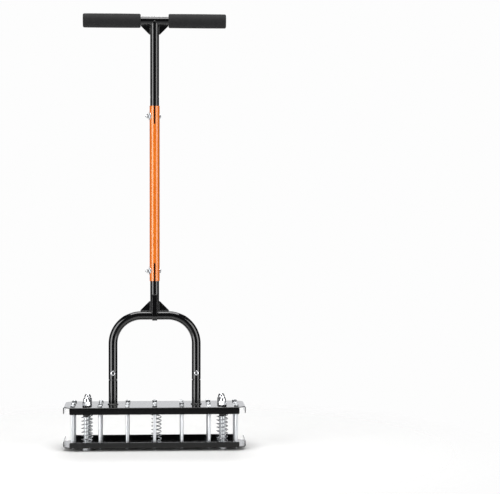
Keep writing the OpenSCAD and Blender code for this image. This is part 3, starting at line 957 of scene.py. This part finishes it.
@dataclass
class Welds:
    """Fillet welds of the black frame, under the powder coat.

    Attributes:
        throat: Radius of a full bead.
        ripple: Height of the solidified ripples.
        ripple_pitch: Distance between ripples.
        sides: Points round a bead.
        socket_steps: Sections of a bead round a leg socket.
        saddle_steps: Sections of a bead round a stem.
        edge_steps: Sections of a bead along one edge of a gusset.
        strap_steps: Sections of a bead over the strap.
    """

    throat: float = 1.5 * MM
    ripple: float = 0.22 * MM
    ripple_pitch: float = 2.4 * MM
    sides: int = 14
    socket_steps: int = 160
    saddle_steps: int = 200
    edge_steps: int = 30
    strap_steps: int = 40

    def bead(self, name: str, path: list[Vector], joined: bool, throat: float) -> None:
        """Lays one bead along a path.

        Args:
            name: Name of the piece.
            path: Points along the root of the weld.
            joined: True when the bead closes on itself.
            throat: Radius of the bead.
        """
        length, radii = 0.0, []
        for i, point in enumerate(path):
            if i:
                length += (point - path[i - 1]).length
            wave = 0.5 + 0.5 * math.cos(2 * math.pi * length / self.ripple_pitch)
            drift = 0.12 * MM * math.sin(length / MM * 0.31 + 1.3)
            radii.append(throat - self.ripple * wave * wave + drift)
        shape = Shape()
        sweep(shape, path, radii, self.sides, joined)
        place(shape.build(name, BLACK_COAT.material(), 60), Body.CARRIAGE, "black_paint")

    def round_sockets(self) -> None:
        """Lays the bead where each leg socket stands on the moving plate."""
        for node in ("left_leg_socket", "right_leg_socket"):
            at, floor = centre_of(node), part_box("top_plate")[1][2]
            r, n = tube_radius() + 0.7 * MM, self.socket_steps
            path = [at.xy.to_3d() + Vector((r * math.cos(a), r * math.sin(a), floor + 0.7 * MM))
                    for a in (2 * math.pi * k / n for k in range(n))]
            self.bead("weld_" + node, path, True, self.throat + 0.3 * MM)

    def saddle(self, name: str, bar_z: float, up: bool) -> None:
        """Lays the bead where a stem meets a cross tube of the same size.

        Args:
            name: Name of the piece.
            bar_z: Axis of the cross tube.
            up: True when the stem stands on the tube, False when it hangs below.
        """
        r, sign = tube_radius() + 0.35 * MM, 1 if up else -1
        path = []
        for k in range(self.saddle_steps):
            a = 2 * math.pi * k / self.saddle_steps
            rise = math.sqrt((r * math.cos(a)) ** 2 + (1.2 * MM) ** 2)
            path.append(Vector((r * math.cos(a), r * math.sin(a), bar_z + sign * rise)))
        self.bead(name, path, True, self.throat * 0.8)

    def gusset_edges(self, node: str, up: bool) -> None:
        """Lays the beads along both welded edges of a pair of gusset plates.

        Args:
            node: CAD node of the pair.
            up: True when the plates stand on the tube below them.
        """
        lo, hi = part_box(node)
        r, reach = tube_radius(), max(abs(lo[0]), abs(hi[0]))
        tube_side, far = (lo[2], hi[2]) if up else (hi[2], lo[2])
        sign, n = 1 if up else -1, self.edge_steps
        for side in (-1, 1):
            for face in (-1, 1):
                y = face * (hi[1] + 0.25 * MM)
                corner = Vector((side * (r + 0.3 * MM), y, tube_side + sign * 0.6 * MM))
                high_end = Vector((corner.x, y, far - sign * 1.2 * MM))
                out_end = Vector((side * (reach - 1.2 * MM), y, corner.z))
                path = [high_end.lerp(corner, i / n) for i in range(n)]
                path += [corner.lerp(out_end, i / n) for i in range(n + 1)]
                self.bead(f"weld_{node}_{'r' if side > 0 else 'l'}{'b' if face > 0 else 'f'}", path, False,
                          self.throat * 0.62)

    def strap_ends(self) -> None:
        """Lays a bead over the upper edge of the strap, on the front and the back of the stem."""
        lo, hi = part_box("fork_strap")
        half, r = (hi[0] - lo[0]) / 2, tube_radius() + 0.5 * MM
        for face in (-1, 1):
            path = []
            for k in range(self.strap_steps + 1):
                x = half * (k / (self.strap_steps / 2) - 1)
                sag = 0.9 * MM * (x / half) ** 2
                path.append(Vector((x, face * math.sqrt(r * r - x * x), hi[2] + 0.5 * MM - sag)))
            self.bead("weld_strap_" + ("back" if face > 0 else "front"), path, False, self.throat * 0.85)

    def build(self) -> None:
        """Lays every bead."""
        self.round_sockets()
        self.strap_ends()
        self.saddle("weld_fork_stem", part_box("fork")[1][2] - tube_radius(), True)
        lo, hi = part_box("crossbar")
        self.saddle("weld_bar_stem", (lo[2] + hi[2]) / 2, False)
        self.gusset_edges("fork_gussets", True)
        self.gusset_edges("handle_gussets", False)


def tube_radius() -> float:
    """Radius of the black tube of the fork and both stems."""
    lo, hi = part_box("lower_stem")
    return (hi[0] - lo[0]) / 2


@dataclass
class CarriedParts:
    """CAD nodes whose shape is kept and only dressed.

    Attributes:
        finishes: Finish of each kept node.
    """

    finishes: dict[str, bpy.types.Material] = field(default_factory=dict)

    def build(self) -> None:
        """Dresses every node that no other sub-assembly replaces."""
        kept = ((BLACK_COAT, ("crossbar", "upper_stem", "handle_gussets", "lower_stem", "fork",
                              "fork_gussets", "fork_strap", "left_leg_socket", "right_leg_socket")),
                (PLATE_COAT, ("top_plate", "base_plate")),
                (ORANGE_COAT, ("extension_tube",)),
                (NYLON, ("guide_bushes",)),
                (CHROME, ("left_leg_bolt", "right_leg_bolt", "upper_clamp_bolt", "lower_clamp_bolt")))
        for finish, nodes in kept:
            self.finishes.update(dict.fromkeys(nodes, finish.material()))
        for node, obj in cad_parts.items():
            if not obj.hide_render:
                dress(node, self.finishes.get(node, ZINC.material()))


# ------------------------------------------------------------------ studio


@dataclass
class Studio:
    """Pale floor, soft lights and the camera.

    Attributes:
        distance: Camera distance in front of the tool.
        height: Camera height.
        aside: Camera offset to its right.
        lens: Focal length in millimetres.
        turn_deg: How far the camera is turned to its right of the tool.
        dip_deg: How far it looks down.
        roll_deg: How far it is tipped to its left.
    """

    distance: float = 3.949
    height: float = 0.626
    aside: float = 0.002
    lens: float = 115.3
    turn_deg: float = 3.38
    dip_deg: float = 1.89
    roll_deg: float = 0.1

    def floor(self) -> None:
        """Builds the pale floor, which fades into the surroundings at its rim."""
        shape = Shape().rings(turned([(r, 0.0) for r in (6.0, 3.0, 1.5, 0.4)], 96), cap_last=True)
        mat = bpy.data.materials.new("pale_matt_floor")
        tree = clean_tree(mat)
        where = add_node(tree, "ShaderNodeTexCoord")
        away = add_node(tree, "ShaderNodeVectorMath", {"operation": "LENGTH"},
                        {0: where.outputs["Object"]})
        fade = add_node(tree, "ShaderNodeMapRange", {"From Min": 0.3, "From Max": 0.9},
                        {"Value": away.outputs["Value"]})
        side = add_node(tree, "ShaderNodeNewGeometry")
        # From below the floor is clear, so that the underside of the tool can be seen.
        gone = add_node(tree, "ShaderNodeMath", {"operation": "MAXIMUM"},
                        {0: fade.outputs["Result"], 1: side.outputs["Backfacing"]})
        paint = add_node(tree, "ShaderNodeBsdfPrincipled",
                         {"Base Color": srgb("#f4f4f3"), "Roughness": 0.75})
        clear = add_node(tree, "ShaderNodeBsdfTransparent")
        both = add_node(tree, "ShaderNodeMixShader", {},
                        {0: gone.outputs["Value"], 1: paint.outputs["BSDF"], 2: clear.outputs["BSDF"]})
        add_node(tree, "ShaderNodeOutputMaterial", {}, {"Surface": both.outputs["Shader"]})
        shape.build("floor", mat)

    def surroundings(self) -> None:
        """Sets a white cloth behind, a half-bright ground below and a dim room all round.

        The tool is lit and mirrored by this room; the view itself always shows plain white.
        """
        world = bpy.data.worlds.new("studio")
        bpy.context.scene.world = world
        tree = clean_tree(world)
        where = add_node(tree, "ShaderNodeTexCoord")
        axes = add_node(tree, "ShaderNodeSeparateXYZ", {}, {"Vector": where.outputs["Generated"]})
        behind = add_node(tree, "ShaderNodeMapRange", {"interpolation_type": "SMOOTHSTEP",
                                                       "From Min": 0.88, "From Max": 0.97,
                                                       "To Min": 0.05, "To Max": 1.0},
                          {"Value": axes.outputs["Y"]})
        below = add_node(tree, "ShaderNodeMapRange", {"interpolation_type": "SMOOTHSTEP",
                                                      "From Min": -0.1, "From Max": -0.5,
                                                      "To Min": 0.0, "To Max": 0.5},
                         {"Value": axes.outputs["Z"]})
        room = add_node(tree, "ShaderNodeMath", {"operation": "MAXIMUM"},
                        {0: behind.outputs["Result"], 1: below.outputs["Result"]})
        dim = add_node(tree, "ShaderNodeBackground", {"Color": srgb("#fbfcff")},
                       {"Strength": room.outputs["Value"]})
        plain = add_node(tree, "ShaderNodeBackground", {"Color": srgb("#fdfdfd"), "Strength": 1.0})
        path = add_node(tree, "ShaderNodeLightPath")
        both = add_node(tree, "ShaderNodeMixShader", {},
                        {0: path.outputs["Is Camera Ray"], 1: dim.outputs["Background"],
                         2: plain.outputs["Background"]})
        add_node(tree, "ShaderNodeOutputWorld", {}, {"Surface": both.outputs["Shader"]})

    def softbox(self, name: str, at: Point, aim: Point, size: tuple[float, float], watts: float) -> None:
        """Adds one rectangular soft light.

        Args:
            name: Name of the light.
            at: Its place.
            aim: The point that it faces.
            size: Width and height.
            watts: Power.
        """
        data = bpy.data.lights.new(name, "AREA")
        data.shape = "RECTANGLE"
        data.size, data.size_y = size
        data.energy = watts
        lamp = bpy.data.objects.new(name, data)
        lamp.location = at
        lamp.rotation_mode = "QUATERNION"
        lamp.rotation_quaternion = (Vector(aim) - Vector(at)).to_track_quat("-Z", "Y")
        lamp.visible_camera = False
        bpy.context.scene.collection.objects.link(lamp)

    def camera(self) -> None:
        """Places the camera in front of the tool, turned a little to its right and down."""
        data = bpy.data.cameras.new("camera")
        data.lens = self.lens
        data.sensor_width = 36.0
        cam = bpy.data.objects.new("camera", data)
        cam.location = (self.aside, -self.distance, self.height)
        turn, dip = math.radians(self.turn_deg), math.radians(self.dip_deg)
        cam.rotation_mode = "QUATERNION"
        aim = Vector((math.sin(turn) * math.cos(dip), math.cos(turn) * math.cos(dip), -math.sin(dip)))
        roll = Quaternion((0, 0, 1), math.radians(self.roll_deg))
        cam.rotation_quaternion = aim.to_track_quat("-Z", "Y") @ roll
        bpy.context.scene.collection.objects.link(cam)
        bpy.context.scene.camera = cam

    def build(self) -> None:
        """Builds the floor, the lights and the camera."""
        bpy.context.scene.view_settings.view_transform = "Standard"
        self.camera()
        self.floor()
        self.surroundings()
        self.softbox("strip_left", at=(-1.68, -1.32, 0.62), aim=(0, 0, 0.55), size=(1.35, 2.4), watts=44)
        self.softbox("strip_right", at=(1.68, -1.32, 0.62), aim=(0, 0, 0.55), size=(1.3, 2.4), watts=32)
        self.softbox("top", at=(0.0, -0.3, 2.6), aim=(0, 0, 0), size=(2.0, 1.4), watts=48)
        self.softbox("behind", at=(0.0, 2.7, 2.2), aim=(0, 0, 0.5), size=(2.4, 1.2), watts=42)
        log.info("studio ready")


# ------------------------------------------------------------------ assembly


def main() -> None:
    """Builds the studio and every sub-assembly in order."""
    logging.basicConfig(level=logging.INFO, format="%(name)s: %(message)s")
    for assembly in (Studio(), FoamGrips(), ReturnSprings(), Spikes(), SpikeNuts(), GuideBolts(),
                     GuideNuts(), Welds(), CarriedParts()):
        assembly.build()


if __name__ == "__main__":
    main()
